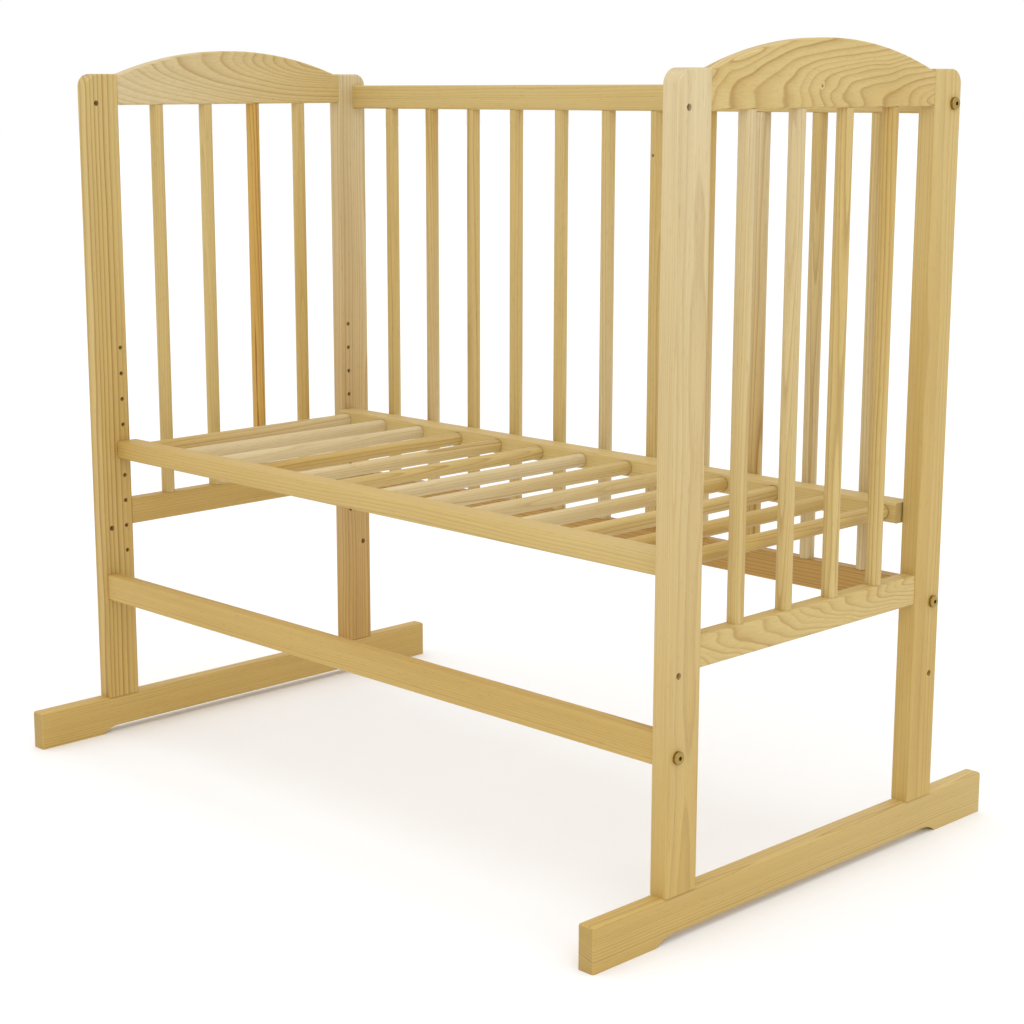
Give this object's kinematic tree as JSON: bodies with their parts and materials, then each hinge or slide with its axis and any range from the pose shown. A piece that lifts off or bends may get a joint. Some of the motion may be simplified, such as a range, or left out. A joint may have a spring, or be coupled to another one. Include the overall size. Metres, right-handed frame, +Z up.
{
  "type": "bedside crib",
  "caption": "Bedside crib in planed pine: arched spindle ends on flat runners, a bolted spindle back, an open front with a low stretcher, and a slatted base that hangs on steel pins.",
  "frame": {"origin": "on the floor, under the middle of the crib", "axes": "+X along the crib towards its right end as seen from the open front, +Y from the open front to the back, +Z up"},
  "size_m": [0.956, 0.64, 0.8485],
  "materials": {
    "pine": "satin",
    "beech": "matte",
    "brass_plated_bolt": "satin",
    "zinc_plated_steel": "satin",
    "bright_steel": "satin"
  },
  "bodies": {
    "frame": {"back_bottom_rail": "pine", "back_panel_barrel_nuts": "zinc_plated_steel", "back_panel_bolts": "brass_plated_bolt", "back_panel_dowels": "beech", "back_spindle_01": "pine", "back_spindle_02": "pine", "back_spindle_03": "pine", "back_spindle_04": "pine", "back_spindle_05": "pine", "back_spindle_06": "pine", "back_spindle_07": "pine", "back_spindle_08": "pine", "back_spindle_09": "pine", "back_spindle_10": "pine", "back_spindle_11": "pine", "back_top_rail": "pine", "base_support_pins": "bright_steel", "end_arch_rail_left": "pine", "end_arch_rail_right": "pine", "end_lower_rail_left": "pine", "end_lower_rail_right": "pine", "end_rail_dowels": "beech", "end_spindle_left_1": "pine", "end_spindle_left_2": "pine", "end_spindle_left_3": "pine", "end_spindle_left_4": "pine", "end_spindle_right_1": "pine", "end_spindle_right_2": "pine", "end_spindle_right_3": "pine", "end_spindle_right_4": "pine", "foot_dowels": "beech", "front_stretcher": "pine", "post_front_left": "pine", "post_front_right": "pine", "post_rear_left": "pine", "post_rear_right": "pine", "runner_left": "pine", "runner_right": "pine", "runner_screws": "zinc_plated_steel", "stretcher_barrel_nuts": "zinc_plated_steel", "stretcher_bolts": "brass_plated_bolt", "stretcher_dowels": "beech"},
    "base": {"base_rail_front": "pine", "base_rail_rear": "pine", "base_slat_01": "pine", "base_slat_02": "pine", "base_slat_03": "pine", "base_slat_04": "pine", "base_slat_05": "pine", "base_slat_06": "pine", "base_slat_07": "pine", "base_slat_08": "pine", "base_slat_09": "pine", "base_slat_10": "pine", "base_slat_11": "pine", "base_slat_12": "pine", "base_slat_13": "pine"}
  },
  "joints": [
    {"name": "base_lift", "type": "slide", "parent": "frame", "child": "base", "axis": [0, 0, 1], "range_m": [0, 0.142]}
  ]
}
